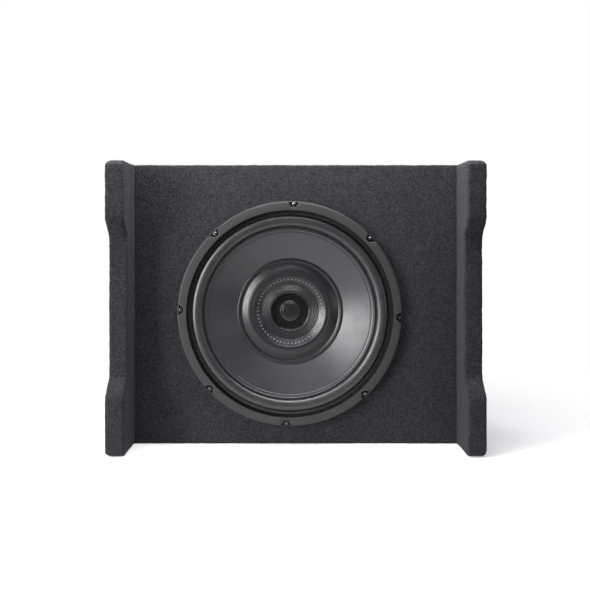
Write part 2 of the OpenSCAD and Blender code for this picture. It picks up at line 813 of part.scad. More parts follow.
module fuse_at(x) {
  body_z = floor_z + 1.2;
  at_panel(x, row_front, 0) {
    color("#d8c020") translate([-fuse_t / 2, -fuse_w / 2, body_z]) cube([fuse_t, fuse_w, 5]);
    color("#d8c020") translate([-fuse_t / 2 + 0.6, -fuse_w / 2 + 3.2, body_z + 5])
      cube([fuse_t - 1.2, fuse_w - 6.4, 6]);
    color("#c4c4c6") for (y = [-7, 7]) translate([-0.4, y - 2.5, floor_z - 6.5])
      cube([0.8, 5, 7.7]);
  }
}

module fuse_1() { fuse_at(fuse_x[0]); }
module fuse_2() { fuse_at(fuse_x[1]); }

module status_leds() {
  for (i = [0, 1]) color(i == 0 ? "#4a78e0" : "#c03020")
    at_panel(led_xy[i][0], led_xy[i][1], 0) {
      translate([0, 0, pcb_top]) cylinder(r = led_r, h = floor_z - pcb_top + 0.6);
      translate([0, 0, floor_z + 0.6]) sphere(led_r);
    }
}

side_board_left();
side_board_right();
top_board();
bottom_board();
back_board();
baffle_board();
carpet_left();
carpet_right();
carpet_wrap();
driver_seal();
basket();
trim_gasket();
driver_screws();
surround();
cone();
dust_cap();
cap_disc();
coil_former();
voice_coil();
spider();
front_plate();
magnet();
yoke();
motor_screws();
terminal_board();
driver_posts();
tinsel_leads();
speaker_wires();
amp_seal();
amp_panel();
amp_screws();
amp_chassis();
wire_grommet();
circuit_board();
toroid();
capacitors();
heat_bar();
transistors();
chassis_screws();
gain_knob();
gain_pot();
crossover_knob();
crossover_pot();
boost_knob();
boost_pot();
switch_bodies();
phase_lever();
input_lever();
rca_base();
rca_jacks();
rca_rings();
level_socket();
socket_pins();
remote_jack();
power_block();
power_screws();
fuse_holders();
fuse_1();
fuse_2();
status_leds();
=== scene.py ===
"""Looks of a powered car subwoofer: a carpeted box with a 12 inch woofer and an amplifier panel."""

import math
from collections import Counter
from itertools import product

import bmesh
import bpy
import numpy as np
from mathutils import Matrix, Vector, noise
from mathutils.geometry import delaunay_2d_cdt

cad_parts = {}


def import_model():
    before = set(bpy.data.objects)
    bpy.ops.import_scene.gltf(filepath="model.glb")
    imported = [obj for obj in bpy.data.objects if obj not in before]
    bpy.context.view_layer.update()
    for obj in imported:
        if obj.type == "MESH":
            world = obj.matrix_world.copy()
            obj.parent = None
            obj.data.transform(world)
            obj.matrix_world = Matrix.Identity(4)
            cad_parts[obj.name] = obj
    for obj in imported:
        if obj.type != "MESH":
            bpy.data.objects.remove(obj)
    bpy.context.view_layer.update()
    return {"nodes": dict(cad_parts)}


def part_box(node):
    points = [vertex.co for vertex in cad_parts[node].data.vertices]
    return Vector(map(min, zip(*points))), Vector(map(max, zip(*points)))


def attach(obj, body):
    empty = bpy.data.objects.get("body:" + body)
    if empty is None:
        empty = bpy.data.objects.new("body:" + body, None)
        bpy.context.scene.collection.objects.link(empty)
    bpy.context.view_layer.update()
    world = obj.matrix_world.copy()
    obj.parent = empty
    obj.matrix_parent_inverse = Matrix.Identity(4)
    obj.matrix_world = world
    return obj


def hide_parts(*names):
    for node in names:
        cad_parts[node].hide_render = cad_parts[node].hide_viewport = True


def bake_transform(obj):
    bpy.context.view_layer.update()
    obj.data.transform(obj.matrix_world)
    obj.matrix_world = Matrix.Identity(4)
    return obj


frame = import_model()

MM = 0.001
WELD = 0.001 * MM                        # points closer than this are one point

# ---- Places that the frame gives ----

WRAP_LOW, WRAP_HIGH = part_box("carpet_wrap")
SIDE_LOW, SIDE_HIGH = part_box("carpet_right")
PANEL_LOW, PANEL_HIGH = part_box("amp_panel")
GASKET_LOW, GASKET_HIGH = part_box("trim_gasket")
FRONT = SIDE_LOW.y                       # the legs' front faces
BAFFLE = WRAP_LOW.y                      # the baffle's carpet
BACK = WRAP_HIGH.y
TOP = WRAP_HIGH.z
WOOFER = Vector(((GASKET_LOW.x + GASKET_HIGH.x) / 2, BAFFLE, (GASKET_LOW.z + GASKET_HIGH.z) / 2))
AMP_Y = ((PANEL_LOW + PANEL_HIGH) / 2).y

# ---- Sizes of the carpet ----

PILE = 2.3 * MM                          # thickness of the carpet
END_EDGE = 7.5 * MM                      # rounding of a side board's outer edge, top and bottom
FACE_EDGE = 3.5 * MM                     # the same edge, front and back
LEG_EDGE = 4 * MM                        # rounding of a leg's inner edges
JOINT_EDGE = 1.2 * MM                    # the same edges, where the box meets the side board
WRAP_EDGE = 2.5 * MM                     # rounding of the box's long edges
LEG_H = 80 * MM                          # height of a leg's front face
LEG_CORNER = 9 * MM                      # rounding of a leg's outer corner, in the board's outline
BACK_CORNER = 6.5 * MM                   # the same at the board's back
ARCH_D = 20 * MM                         # depth of the arch between two legs
ARCH_RUN = 22 * MM                       # height of the arch's slope
ARCH_BEND = 16 * MM                      # rounding of the arch's four corners
STEP = 3.2 * MM                          # spacing of the carpet's points
SIDE_LAP = 0.8 * MM                      # how far a leg's carpet reaches in, past its CAD node
PANEL_GAP = 0.5 * MM                     # between the amplifier's panel and the carpet's cut
HOLE_R = 150.5 * MM                      # the carpet's hole for the woofer
SKIN = 0.1 * MM                          # a point this close to a wall's face is on it

# ---- Sizes of the woofer: profiles are (radius, depth behind the baffle's carpet) in mm ----

FLANGE_DEP = -3                          # the frame's flange, on which the gasket and screws sit
GASKET_FRONT = -9
GASKET_IN, GASKET_OUT = 144.9, 156.4
NOTCH_IN = 149.4                         # how far in a notch reaches
NOTCH_TURN = 1.9                         # degrees, clockwise from the right
NOTCHES = 8
SCREW_R = 153.3                          # radius of the circle that the screws stand on
SURROUND_R = 144.8                       # outer edge of the surround
LANDING_R = 141.8                        # where the surround's flat edge begins, painted near-black from there out as painted shade
ROLL_R, ROLL_HALF, ROLL_H = 130.4, 8.0, 5.9         # its middle radius, half width and height
ROOT_OUT, ROOT_IN = -0.2, 1.2            # depth of the roll's front at its outer and inner root
RUBBER = 1.1                             # thickness of the surround
CONE_EDGE_R, CONE_EDGE_DEP = 119.7, -0.9
CONE_RISE = 0.564                        # how much deeper the cone gets per mm of radius inward
CONE_T = 1.2
CAP_R = 76.2                             # outer edge of the dust cap's glued flange
SLOPE_OUT, SLOPE_IN = (50.4, 22.3), (41.8, 27.4)    # the cap's sloped band
WELL_R = 28                              # the cap's well
LEAD_POST, LEAD_CONE = (91.7, 48), (47, 42.9)       # ends of a tinsel lead
SPIN = 288                               # points round a turned piece


# ---- Mesh helpers ----

def new_piece(name, verts, faces, material, body, replaced=(), smooth=True):
    """A mesh piece that rides on a body, if it is given one, and stands for CAD nodes."""
    mesh = bpy.data.meshes.new(name)
    mesh.from_pydata([tuple(v) for v in verts], [], faces)
    mesh.polygons.foreach_set("use_smooth", [smooth] * len(mesh.polygons))
    piece = bpy.data.objects.new(name, mesh)
    bpy.context.scene.collection.objects.link(piece)
    piece.data.materials.append(material)
    if body:
        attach(piece, body)
    if replaced:
        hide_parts(*replaced)
    return piece


def fillet(points, radii, closed=False, turn_step=12):
    """A polyline whose corners are arcs. radii is one number, or one for each point."""
    count = len(points)
    radii = [radii] * count if isinstance(radii, (int, float)) else radii
    share_of_side, straight = 0.48, math.radians(89.5)
    out = []
    for i, p in enumerate(points):
        p = Vector(p)
        if not closed and i in (0, count - 1) or radii[i] <= 0:
            out.append(tuple(p))
            continue
        a, b = Vector(points[i - 1]) - p, Vector(points[(i + 1) % count]) - p
        room = share_of_side * min(a.length, b.length)
        a.normalize()
        b.normalize()
        half = a.angle(b) / 2
        if half > straight:
            out.append(tuple(p))
            continue
        back = min(radii[i] / math.tan(half), room)
        radius = back * math.tan(half)
        centre = p + (a + b).normalized() * (radius / math.sin(half))
        start, end = p + a * back - centre, p + b * back - centre
        steps = max(2, math.ceil(math.degrees(math.pi - 2 * half) / turn_step))
        sweep = start.angle_signed(end)
        for k in range(steps + 1):
            spun = Matrix.Rotation(-sweep * k / steps, 2) @ start
            out.append(tuple(centre + spun))
    return out


def split_long(loop, step):
    """The same closed polyline, with no stretch longer than step."""
    out = []
    for start, end in zip(loop, loop[1:] + loop[:1]):
        a, b = Vector(start), Vector(end)
        parts = max(1, math.ceil((b - a).length / step))
        out += [tuple(a.lerp(b, k / parts)) for k in range(parts)]
    return out


def ring_faces(start, rings, around, closed=False):
    """Quads between rings of points that begin at start. If closed, the last joins the first."""
    faces = []
    for i in range(rings if closed else rings - 1):
        a, b = start + i * around, start + (i + 1) % rings * around
        for j in range(around):
            k = (j + 1) % around
            faces.append((a + j, a + k, b + k, b + j))
    return faces


def circle(count):
    """Angles round a full turn."""
    return [2 * math.pi * k / count for k in range(count)]


def woofer_point(radius, depth, angle):
    """A point given in the woofer's own sizes, with the angle anticlockwise from the right."""
    return (WOOFER.x + radius * MM * math.cos(angle), BAFFLE + depth * MM,
            WOOFER.z + radius * MM * math.sin(angle))


def from_woofer(point):
    """How far a point is from the woofer's axis, in metres."""
    return math.hypot(point[0] - WOOFER.x, point[2] - WOOFER.z)


def clean(piece, weld=None, outward=None):
    """Drops loose points, welds points closer than weld, and turns the faces outward. On an open
    piece, outward is a direction, and the face that lies furthest along it faces that way."""
    work = bmesh.new()
    work.from_mesh(piece.data)
    bmesh.ops.delete(work, geom=[v for v in work.verts if not v.link_faces], context="VERTS")
    if weld:
        bmesh.ops.remove_doubles(work, verts=work.verts, dist=weld)
        bmesh.ops.dissolve_degenerate(work, edges=work.edges, dist=0.1 * weld)
    bmesh.ops.recalc_face_normals(work, faces=work.faces)
    if outward:
        furthest = max(work.faces, key=lambda f: f.calc_center_median().dot(outward))
        if furthest.normal.dot(outward) < 0:
            bmesh.ops.reverse_faces(work, faces=work.faces)
    work.to_mesh(piece.data)
    work.free()


def turned(name, profile, material, body, replaced=(), spin=SPIN):
    """A closed profile turned round the woofer's axis. Points at radius 0 are welded."""
    verts = [woofer_point(r, depth, angle) for angle in circle(spin) for r, depth in profile]
    faces = ring_faces(0, spin, len(profile), closed=True)
    piece = new_piece(name, verts, faces, material, body, replaced)
    clean(piece, weld=WELD)
    return piece


# ---- Material helpers ----

def smooth_step(tree, source, low, high, low_value, high_value):
    """A smooth step from low_value to high_value as source goes from low to high."""
    node = tree.nodes.new("ShaderNodeMapRange")
    node.interpolation_type = "SMOOTHSTEP"
    for socket, value in zip(("From Min", "From Max", "To Min", "To Max"),
                             (low, high, low_value, high_value)):
        node.inputs[socket].default_value = value
    tree.links.new(source, node.inputs["Value"])
    return node.outputs["Result"]


class Shader:
    """Builds one node material, with the object's own coordinates behind every pattern."""

    def __init__(self, name, roughness=0.5, metallic=0.0, specular=0.5, sheen=0.0):
        self.material = bpy.data.materials.new(name)
        self.material.use_nodes = True
        self.tree = self.material.node_tree
        self.principled = self.tree.nodes["Principled BSDF"]
        self.set("Roughness", roughness)
        self.set("Metallic", metallic)
        self.set("Specular IOR Level", specular)
        self.set("Sheen Weight", sheen)
        self.place = self.tree.nodes.new("ShaderNodeTexCoord").outputs["Object"]

    def set(self, socket, value):
        """The same value all over the surface."""
        self.principled.inputs[socket].default_value = value

    def link(self, source, target):
        self.tree.links.new(source, target)

    def noise(self, scale, detail=4.0, roughness=0.6, distortion=0.0, stretch=None):
        node = self.tree.nodes.new("ShaderNodeTexNoise")
        node.inputs["Scale"].default_value = scale
        node.inputs["Detail"].default_value = detail
        node.inputs["Roughness"].default_value = roughness
        node.inputs["Distortion"].default_value = distortion
        self.link(self.mapped(stretch) if stretch else self.place, node.inputs["Vector"])
        return node.outputs["Fac"]

    def cells(self, scale, feature="F1"):
        """The distance to the middle, or to the edge, of rounded cells."""
        node = self.tree.nodes.new("ShaderNodeTexVoronoi")
        node.feature = feature
        node.inputs["Scale"].default_value = scale
        self.link(self.place, node.inputs["Vector"])
        return node.outputs["Distance"]

    def mapped(self, stretch):
        """The object's coordinates, each times its own number."""
        node = self.tree.nodes.new("ShaderNodeMapping")
        node.inputs["Scale"].default_value = stretch
        self.link(self.place, node.inputs["Vector"])
        return node.outputs["Vector"]

    def ramp(self, source, low, high, low_value, high_value):
        return smooth_step(self.tree, source, low, high, low_value, high_value)

    def step(self, axis, at):
        """0 below a place along the axis and 1 above it."""
        split = self.tree.nodes.new("ShaderNodeSeparateXYZ")
        self.link(self.place, split.inputs["Vector"])
        half = 0.1 * MM
        return self.ramp(split.outputs[axis], at - half, at + half, 0, 1)

    def math(self, operation, a, b):
        """A Math node on a and b, each of which is a number or a socket."""
        node = self.tree.nodes.new("ShaderNodeMath")
        node.operation = operation
        for socket, value in zip(node.inputs, (a, b)):
            if isinstance(value, (int, float)):
                socket.default_value = value
            else:
                self.link(value, socket)
        return node.outputs["Value"]

    def mix(self, factor, dark, light):
        """A colour between dark and light, each of which is three numbers or a socket."""
        node = self.tree.nodes.new("ShaderNodeMix")
        node.data_type = "RGBA"
        self.link(factor, node.inputs["Factor"])
        for socket, value in ((node.inputs[6], dark), (node.inputs[7], light)):
            if isinstance(value, tuple):
                socket.default_value = (*value, 1)
            else:
                self.link(value, socket)
        return node.outputs[2]

    def colour(self, source):
        self.link(source, self.principled.inputs["Base Color"])

    def vary_gloss(self, source, low, high):
        """Roughness from low to high through the middle of a noise."""
        self.link(self.ramp(source, 0.3, 0.7, low, high), self.principled.inputs["Roughness"])

    def bump(self, height, distance, strength=1.0):
        node = self.tree.nodes.new("ShaderNodeBump")
        node.inputs["Distance"].default_value = distance
        node.inputs["Strength"].default_value = strength
        self.link(height, node.inputs["Height"])
        self.link(node.outputs["Normal"], self.principled.inputs["Normal"])


def tinted(colour, share):
    """The colour times share, no brighter than 1."""
    return tuple(min(1.0, c * share) for c in colour)


def moulded(name, colour, roughness, grain=2600, depth=0.03 * MM, vary=0.12, specular=0.5):
    """Moulded plastic or rubber: a fine grain, and slow changes of colour and gloss."""
    s = Shader(name, roughness, specular=specular)
    s.colour(s.mix(s.noise(35, 3), tinted(colour, 1 - vary), tinted(colour, 1 + vary)))
    s.vary_gloss(s.noise(90), roughness - 0.05, roughness + 0.06)
    s.bump(s.noise(grain, 2), depth, 0.6)
    return s.material


def metal(name, colour, roughness, brushed=(1, 1, 1)):
    """Plated or machined metal. brushed is how fine its streaks are along each axis."""
    s = Shader(name, roughness, metallic=1.0)
    streaks = s.noise(300, 5, 0.7, stretch=brushed)
    s.colour(s.mix(streaks, tinted(colour, 0.86), tinted(colour, 1.08)))
    s.vary_gloss(streaks, roughness - 0.08, roughness + 0.1)
    s.bump(streaks, 0.02 * MM, 0.35)
    return s.material


# ---- Materials ----

def carpet_material():
    """Charcoal needle felt: matted fibres and strands, small loops and soft mottling."""
    s = Shader("carpet_felt", 0.96, specular=0.08, sheen=0.05)
    s.set("Sheen Roughness", 0.55)
    s.set("Sheen Tint", (0.5, 0.5, 0.54, 1))
    fibres = s.noise(760, 2, distortion=1.0)
    strands = s.noise(400, 2, distortion=1.6)
    mottle = s.noise(60)
    mixed = s.math("ADD", s.math("MULTIPLY", fibres, 0.55), s.math("MULTIPLY", strands, 0.45))
    felt = s.mix(s.ramp(mixed, 0.41, 0.60, 0, 1), (0.0095, 0.0091, 0.0106), (0.0385, 0.0370, 0.0425))
    shade = s.ramp(mottle, 0.3, 0.7, 0.0, 0.3)
    s.colour(s.mix(shade, felt, (0.0145, 0.0143, 0.0156)))
    loops = s.cells(520)
    s.bump(s.math("ADD", mixed, s.math("MULTIPLY", loops, 0.5)), 1.3 * MM)
    return s.material


def board_material():
    """Fibreboard with its pressed chips."""
    s = Shader("fibreboard", 0.85, specular=0.2)
    chips = s.noise(900, 4, 0.8)
    s.colour(s.mix(chips, (0.36, 0.25, 0.15), (0.60, 0.46, 0.30)))
    s.bump(chips, 0.1 * MM, 0.5)
    return s.material


def cone_material():
    """Satin polypropylene with a faint grain."""
    s = Shader("cone_poly", 0.36, specular=0.55)
    s.colour(s.mix(s.noise(28, 3), (0.0165, 0.0162, 0.0190), (0.0213, 0.0210, 0.0245)))
    s.vary_gloss(s.noise(55), 0.34, 0.40)
    s.bump(s.noise(1500, 3), 0.03 * MM, 0.35)
    return s.material


def powder_material():
    """Black powder coat with its fine leathery texture."""
    s = Shader("powder_coat", 0.5, specular=0.22)
    lumps = s.noise(1100, 3, 0.55)
    s.colour(s.mix(s.noise(40, 3), (0.004, 0.004, 0.0042), (0.008, 0.008, 0.0085)))
    s.vary_gloss(lumps, 0.42, 0.60)
    s.bump(lumps, 0.12 * MM, 0.7)
    return s.material


def panel_material():
    """Cast aluminium under a fine black wrinkle coat."""
    s = Shader("panel_wrinkle", 0.5)
    wrinkle = s.noise(760, distortion=0.8)
    s.colour(s.mix(s.noise(30, 3), (0.010, 0.010, 0.0105), (0.016, 0.016, 0.017)))
    s.vary_gloss(wrinkle, 0.38, 0.58)
    s.bump(wrinkle, 0.10 * MM, 0.6)
    return s.material


def two_tone(name, low_colour, high_colour, axis, at, roughness=0.35):
    """One colour below a place along an axis and another above it."""
    s = Shader(name, roughness)
    s.colour(s.mix(s.step(axis, at), low_colour, high_colour))
    s.vary_gloss(s.noise(120), roughness - 0.05, roughness + 0.06)
    s.bump(s.noise(1800, 2), 0.02 * MM, 0.4)
    return s.material


def fuse_material():
    """Amber plastic with plated blades below it."""
    s = Shader("blade_fuse", 0.25)
    plastic = s.step("Z", BLADE_TOP)
    s.colour(s.mix(plastic, (0.55, 0.55, 0.57), (0.80, 0.42, 0.02)))
    s.link(s.math("SUBTRACT", 1.0, plastic), s.principled.inputs["Metallic"])
    s.vary_gloss(s.noise(150), 0.2, 0.3)
    s.bump(s.noise(1800, 2), 0.02 * MM, 0.4)
    return s.material


def winding_material(name, colour):
    """Fine metal wire, laid in turns."""
    s = Shader(name, 0.3, metallic=0.9)
    s.colour(s.mix(s.noise(700, 2, stretch=(1, 1, 3)), tinted(colour, 0.55), colour))
    s.bump(s.noise(900, 2, stretch=(1, 1, 4)), 0.15 * MM, 0.8)
    return s.material


def board_green():
    """A circuit board's lacquer, with lighter tracks."""
    s = Shader("solder_mask", 0.35)
    tracks = s.cells(160, "DISTANCE_TO_EDGE")
    s.colour(s.mix(s.ramp(tracks, 0.02, 0.06, 0, 1), (0.10, 0.24, 0.10), (0.015, 0.10, 0.045)))
    return s.material


BLADE_TOP = PANEL_HIGH.z - 12.8 * MM     # where a fuse's plastic ends and its blades begin
RCA_MIDDLE = -31 * MM                    # between the white and the red RCA jack
LED_MIDDLE = AMP_Y + 25 * MM             # between the red and the blue LED

CARPET = carpet_material()
FIBREBOARD = board_material()
RUBBER_TRIM = moulded("gasket_rubber", (0.020, 0.020, 0.0202), 0.6, grain=1800,
                      depth=0.06 * MM, specular=0.36)
# Painted shade: near-black rubber laid on the gasket's inner wall and the surround's flat outer edge,
# standing in for the shadow in the gap between gasket and roll.
SHADOW_RUBBER = moulded("painted_shade_rubber", (0.006, 0.006, 0.0063), 0.6, grain=1800, specular=0.2)
SURROUND = moulded("surround_rubber", (0.015, 0.015, 0.0162), 0.39, grain=2400, specular=0.6)
CONE = cone_material()
CAP = moulded("cap_poly", (0.0135, 0.0133, 0.015), 0.34, grain=1600, depth=0.012 * MM,
              specular=0.35)
# Glossier and darker than the cap: the darkness is partly painted shade of the recess.
WELL = moulded("cap_well_gloss_and_painted_shade", (0.006, 0.006, 0.0062), 0.14, depth=0.012 * MM, vary=0.05)
DISC = moulded("disc_gloss", (0.012, 0.012, 0.0125), 0.16, depth=0.012 * MM, vary=0.05)
PIPS = moulded("pip_print", (0.13, 0.13, 0.134), 0.4, vary=0.2)
BASKET = powder_material()
SATIN_STEEL = moulded("satin_black_steel", (0.012, 0.012, 0.0125), 0.36, vary=0.1)
ZINC = metal("zinc", (0.62, 0.62, 0.64), 0.3)
BLACK_OXIDE = metal("black_oxide", (0.15, 0.15, 0.157), 0.18)
BARE_STEEL = metal("machined_steel", (0.50, 0.50, 0.52), 0.35)
GALVANISED = metal("galvanised", (0.52, 0.53, 0.55), 0.42)
ALUMINIUM = metal("aluminium", (0.68, 0.69, 0.70), 0.3, brushed=(1, 12, 12))
GOLD = metal("gold_plate", (0.90, 0.66, 0.28), 0.2)
BRASS = metal("brass", (0.72, 0.56, 0.28), 0.3)
FERRITE = moulded("ferrite", (0.035, 0.033, 0.033), 0.6, grain=900, depth=0.1 * MM)
COPPER = winding_material("copper_winding", (0.75, 0.33, 0.13))
BRAID = winding_material("tinsel_braid", (0.70, 0.48, 0.27))
SPIDER = moulded("spider_cloth", (0.52, 0.36, 0.14), 0.85, grain=700, depth=0.25 * MM, vary=0.2)
FOAM = moulded("closed_foam", (0.02, 0.02, 0.02), 0.9, grain=1300, depth=0.2 * MM)
PHENOLIC = moulded("phenolic", (0.22, 0.11, 0.05), 0.5, vary=0.25)
FORMER = moulded("former_film", (0.60, 0.55, 0.40), 0.45)
BLACK_PLASTIC = moulded("black_plastic", (0.016, 0.016, 0.017), 0.42, vary=0.1)
KNOB_PLASTIC = moulded("knob_plastic", (0.02, 0.02, 0.021), 0.5, grain=1500, depth=0.06 * MM)
GREY_PLASTIC = moulded("grey_plastic", (0.09, 0.09, 0.095), 0.5)
NYLON = moulded("nylon", (0.62, 0.60, 0.53), 0.42, vary=0.06)
SLEEVE = moulded("capacitor_sleeve", (0.02, 0.025, 0.05), 0.25)
PRINT = moulded("white_print", (0.62, 0.62, 0.60), 0.6, vary=0.05)
SOLDER_MASK = board_green()
PANEL = panel_material()
FUSE = fuse_material()


# ---- Carpet ----

def felt(point, normal):
    """Where the felt's surface lies, at a point of its mean surface."""
    fine = noise.noise(point * 260) * 0.42
    tufts = noise.noise(point * 95 + Vector((7, 3, 1))) * 0.36
    slow = noise.noise(point * 14) * 0.40
    return point + normal * (fine + tufts + slow) * MM


def lay_felt(piece):
    """Moves each point as the felt stands, and gives the felt its thickness, inward."""
    points = piece.data.vertices
    for point, place in zip(points, [felt(v.co, v.normal) for v in points]):
        point.co = place
    solid = piece.modifiers.new("pile", "SOLIDIFY")
    solid.thickness = PILE
    solid.offset = -1


def side_outline():
    """A side board's outline in (y, z), anticlockwise, with every corner rounded."""
    corners = [
        (FRONT, 0), (BACK, 0), (BACK, TOP), (FRONT, TOP), (FRONT, TOP - LEG_H),
        (FRONT + ARCH_D, TOP - LEG_H - ARCH_RUN), (FRONT + ARCH_D, LEG_H + ARCH_RUN), (FRONT, LEG_H),
    ]
    radii = [LEG_CORNER, BACK_CORNER, BACK_CORNER, LEG_CORNER] + [ARCH_BEND] * 4
    return split_long(fillet(corners, radii, closed=True), STEP)


def loop_normals(loop):
    """Unit vectors that point out of an anticlockwise loop."""
    p = np.array(loop)
    along = np.roll(p, -1, 0) - np.roll(p, 1, 0)
    along /= np.linalg.norm(along, axis=1)[:, None]
    return np.stack([along[:, 1], -along[:, 0]], 1)


def inside(points, loop):
    """Which points lie inside a closed loop."""
    x, y = points[:, 0], points[:, 1]
    result = np.zeros(len(points), bool)
    for (x0, y0), (x1, y1) in zip(loop, np.roll(loop, -1, 0)):
        crosses = (y0 > y) != (y1 > y)
        if y1 != y0:
            result ^= crosses & (x < (x1 - x0) * (y - y0) / (y1 - y0) + x0)
    return result


def fill(loop, step):
    """Triangles over a flat loop, with inner points on a staggered grid: (points, faces)."""
    row_pitch, clearance = 0.866 * step, 0.6 * step
    low, high = loop.min(0), loop.max(0)
    rows = np.arange(low[1], high[1], row_pitch)
    grid = np.array([(x + (i % 2) * step / 2, y) for i, y in enumerate(rows)
                     for x in np.arange(low[0], high[0], step)])
    grid = grid[inside(grid, loop)]
    gap = np.min(np.linalg.norm(grid[:, None] - loop[None], axis=2), axis=1)
    grid = grid[gap > clearance]
    points = [Vector(p) for p in np.vstack([loop, grid])]
    edges = [(i, (i + 1) % len(loop)) for i in range(len(loop))]
    verts, _, faces, *_ = delaunay_2d_cdt(points, edges, [], 1, 0.1 * WELD)
    return [tuple(v) for v in verts], [tuple(f) for f in faces]


def edge_radii(outline, normals):
    """The rounding at each outline point: of the outer edge, and of the inner one."""
    end_zone, leg_zone = 12 * MM, 8 * MM
    z = outline[:, 1]
    at_end = (z < end_zone) | (z > TOP - end_zone)
    outer = FACE_EDGE + (END_EDGE - FACE_EDGE) * np.where(at_end, normals[:, 1] ** 2, 0)
    leg = np.clip((BAFFLE - outline[:, 0]) / leg_zone, 0, 1)
    return outer, JOINT_EDGE + (LEG_EDGE - JOINT_EDGE) * leg


def side_rim(x_out, x_in, outer, inner):
    """The rings across a side board's edge, from its outer face to its inner one: (x, inset)."""
    turns = [math.radians(a) for a in range(90, -1, -15)]
    rim = [(x_out - outer * (1 - math.sin(a)), outer * (1 - math.cos(a))) for a in turns]
    rim += [((x_out - outer) * (1 - t) + (x_in + inner) * t, 0 * outer)
            for t in np.linspace(0, 1, 6)[1:-1]]
    rim += [(x_in + inner * (1 - math.sin(a)), inner * (1 - math.cos(a))) for a in reversed(turns)]
    return rim


def front_stretch(loop):
    """The stretch of a side board's loop that lies in front of the box: its two legs and arch."""
    front = loop[:, 0] < BAFFLE + STEP
    first = next(i for i in range(len(loop)) if front[i] and not front[i - 1])
    return np.roll(loop, -first, 0)[np.roll(front, -first)]


def side_carpet(name, side, node):
    """The carpet of one side board: its outer face, its edges and the legs' inner faces."""
    outline = np.array(side_outline())
    normals = loop_normals(outline)
    outer, inner = edge_radii(outline, normals)
    x_out, x_in = SIDE_HIGH.x, SIDE_LOW.x - SIDE_LAP
    rim = side_rim(x_out, x_in, outer, inner)
    verts = []
    for x, inset in rim:
        ring = outline - normals * inset[:, None]
        verts += [(side * u, y, z) for u, (y, z) in zip(x, ring)]
    faces = ring_faces(0, len(rim), len(outline))
    outer_loop, inner_loop = (outline - normals * edge[:, None] for edge in (outer, inner))
    for loop, x in ((outer_loop, x_out), (front_stretch(inner_loop), x_in)):
        points, triangles = fill(loop, STEP)
        start = len(verts)
        verts += [(side * x, y, z) for y, z in points]
        faces += [tuple(start + i for i in triangle) for triangle in triangles]
    piece = new_piece(name, verts, faces, CARPET, "cabinet", [node])
    clean(piece, weld=10 * WELD, outward=Vector((side, 0, 0)))
    lay_felt(piece)


def wrap_levels():
    """The wrap's path round the box, anticlockwise: a list of (y, z) from low on the back."""
    corners = [(BACK, 0), (BACK, TOP), (BAFFLE, TOP), (BAFFLE, 0)]
    path = fillet(corners, WRAP_EDGE, closed=True, turn_step=18)
    for cut in (PANEL_HIGH.y + PANEL_GAP, PANEL_LOW.y - PANEL_GAP):
        before = next(i for i in range(len(path) - 1)
                      if path[i][1] == TOP and path[i][0] > cut > path[i + 1][0])
        path.insert(before + 1, (cut, TOP))
    return split_long(path, STEP)


def wrap_columns():
    """The wrap's columns as (x, dip). Its two edges roll down under the side boards' carpet."""
    half, roll = SIDE_LOW.x + 0.2 * MM, 0.8 * MM
    cut = PANEL_HIGH.x + PANEL_GAP
    shares = [(0.0, 1.0), (0.29, 0.29)]      # of roll: how far in, and how far down
    columns = [(-half + roll * s, roll * d) for s, d in shares]
    columns += [(x, 0) for x in spread([-half + roll, -cut, cut, half - roll], STEP)]
    columns += [(half - roll * s, roll * d) for s, d in reversed(shares)]
    return columns


def spread(marks, step):
    """Numbers through the marks, with no gap longer than step."""
    out = []
    for a, b in zip(marks, marks[1:]):
        parts = max(1, math.ceil((b - a) / step))
        out += [a + (b - a) * k / parts for k in range(parts)]
    return out + [marks[-1]]


def round_cut(point):
    """Moves a point of the amplifier's cut onto the panel's rounded corner, if it is at one."""
    radius, gap = 8 * MM, 0.3 * MM
    x, y, z = point
    cx = math.copysign(PANEL_HIGH.x - radius, x)
    cy = PANEL_LOW.y + radius if y < AMP_Y else PANEL_HIGH.y - radius
    beyond = abs(x) > abs(cx) and abs(y - AMP_Y) > abs(cy - AMP_Y)
    if not beyond or abs(x) > PANEL_HIGH.x + MM:
        return point
    away = Vector((x - cx, y - cy)).normalized() * (radius + gap)
    return (cx + away.x, cy + away.y, z)


def is_cut(point):
    """Whether a point of the wrap lies in the woofer's hole or under the amplifier's panel."""
    in_hole = point.y < BAFFLE + SKIN and from_woofer(point) < HOLE_R
    return in_hole or (point.z > TOP - SKIN and abs(point.x) < PANEL_HIGH.x + PANEL_GAP
                       and PANEL_LOW.y - PANEL_GAP < point.y < PANEL_HIGH.y + PANEL_GAP)


def border(faces):
    """The points on the edges that only one face uses."""
    uses = Counter(frozenset(edge) for f in faces for edge in zip(f, f[1:] + f[:1]))
    return {k for edge, count in uses.items() if count == 1 for k in edge}


def fit_cut(point):
    """Moves a point of the wrap's border onto the woofer's hole or the panel's outline."""
    x, y, z = point
    radius = from_woofer(point)
    if abs(y - BAFFLE) < WELD and abs(radius - HOLE_R) < 2.5 * STEP:
        share = HOLE_R / radius
        return (WOOFER.x + (x - WOOFER.x) * share, y, WOOFER.z + (z - WOOFER.z) * share)
    return round_cut(point) if z > TOP - SKIN else point


